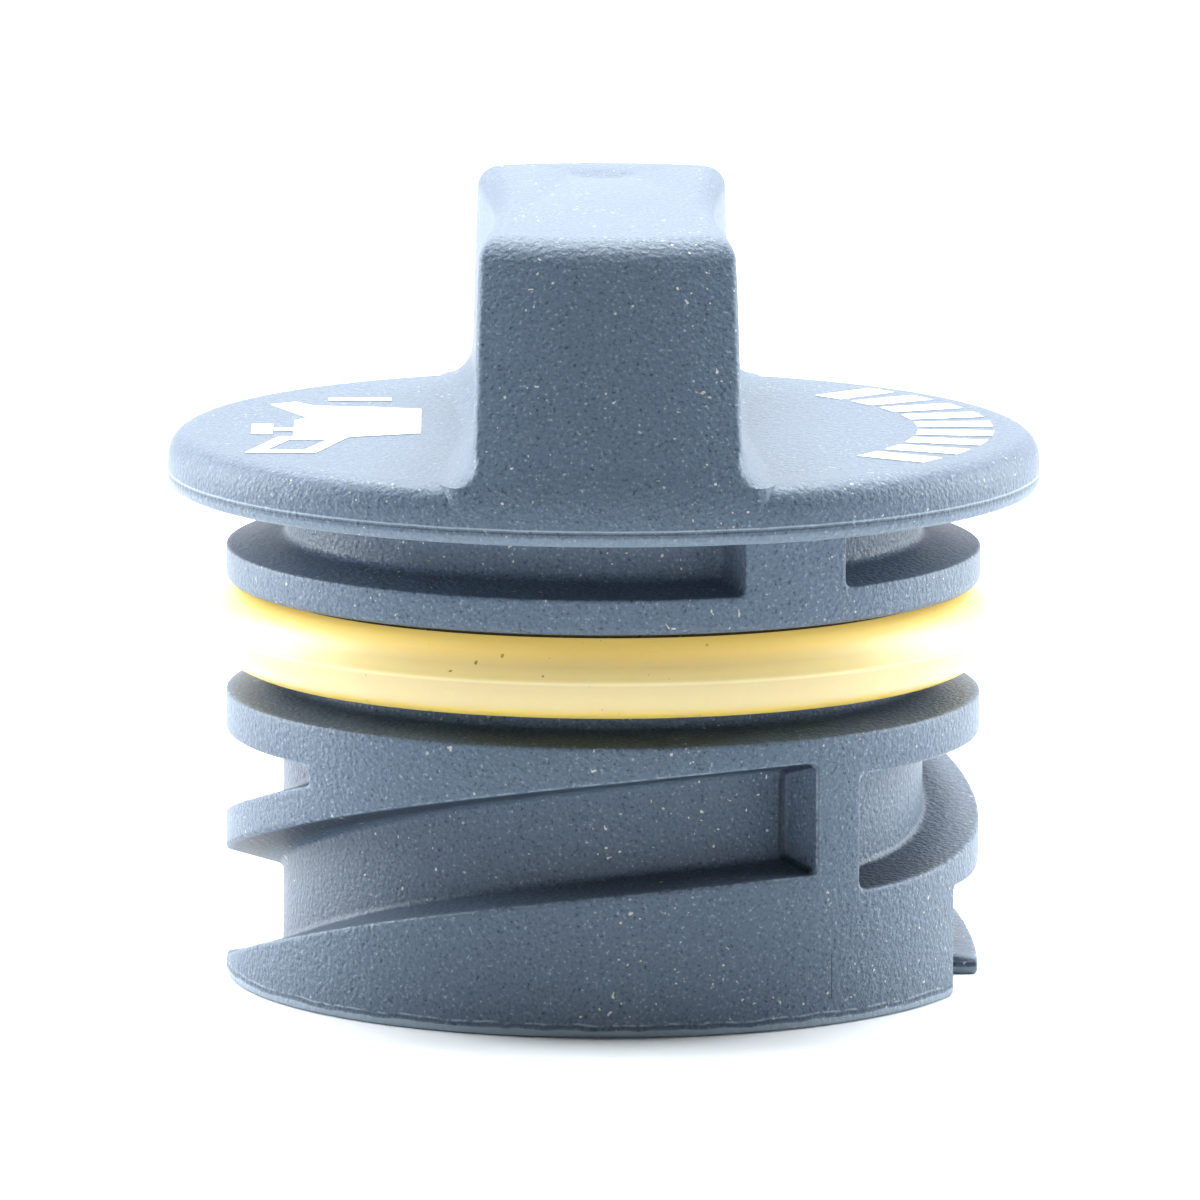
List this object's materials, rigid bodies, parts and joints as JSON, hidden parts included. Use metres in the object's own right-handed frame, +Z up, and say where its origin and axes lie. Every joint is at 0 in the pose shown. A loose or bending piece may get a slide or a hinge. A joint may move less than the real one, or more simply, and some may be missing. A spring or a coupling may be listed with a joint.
{
  "type": "oil filler cap",
  "caption": "Round screw-in filler cap with a grip bar on a flange, a collared plug with a steep cam thread, and a seal ring.",
  "frame": {"origin": "centre of the plug's bottom rim", "axes": "+Z up along the cap's axis, +Y along the grip bar, towards the gate dimple"},
  "size_m": [0.062, 0.062, 0.0555],
  "materials": {
    "cap_plastic": "fine grain, satin",
    "seal_rubber": "smooth, slightly glossy",
    "white_print": "matt ink"
  },
  "bodies": {
    "root": {"cap_body": "cap_plastic", "seal_ring": "seal_rubber", "oil_can_mark": "white_print", "dash_mark": "white_print"}
  },
  "joints": []
}
